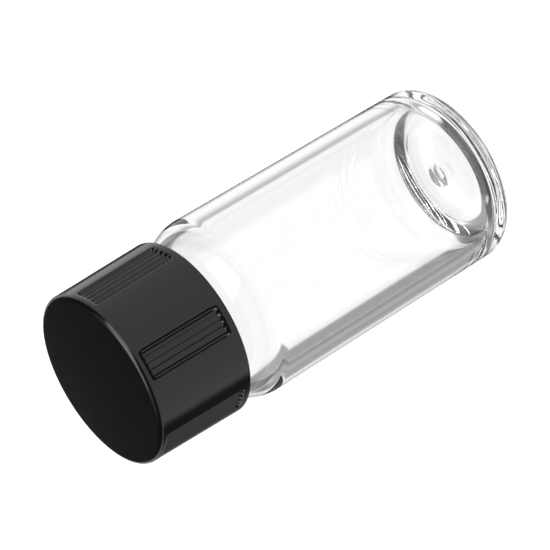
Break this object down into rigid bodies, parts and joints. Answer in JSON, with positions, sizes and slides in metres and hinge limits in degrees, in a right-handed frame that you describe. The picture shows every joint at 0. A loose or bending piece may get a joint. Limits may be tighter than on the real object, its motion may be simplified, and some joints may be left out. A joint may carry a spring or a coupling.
{
  "type": "sample vial",
  "caption": "Clear glass sample vial with a straight barrel, rounded shoulder and threaded neck, closed by a lined screw cap with ribbed grip panels.",
  "frame": {"origin": "centre of the base ring that the vial stands on, on the vial's axis", "axes": "+Z along the axis from the base to the cap; -Y faces the middle of one grip panel"},
  "size_m": [0.022, 0.022, 0.052],
  "materials": {
    "glass": "clear, polished",
    "cap_plastic": "moulded black thermoset, semi-gloss",
    "liner_foam": "fine closed-cell foam",
    "liner_film": "smooth film"
  },
  "bodies": {
    "vial": {"vial_body": "glass"},
    "liner": {"liner_backing": "liner_foam", "liner_facing": "liner_film"},
    "cap": {"screw_cap": "cap_plastic"}
  },
  "joints": [
    {"name": "cap_rise", "type": "slide", "parent": "vial", "child": "liner", "axis": [0, 0, 1], "range_m": [0, 0.01111]},
    {"name": "cap_turn", "type": "hinge", "parent": "liner", "child": "cap", "pos_m": [0, 0, 0.0395], "axis": [0, 0, 1], "range_deg": [0, 1260]}
  ],
  "couplings": [
    {"joint": "cap_rise", "follows": "cap_turn", "m_per_rad": 0.00050532}
  ]
}
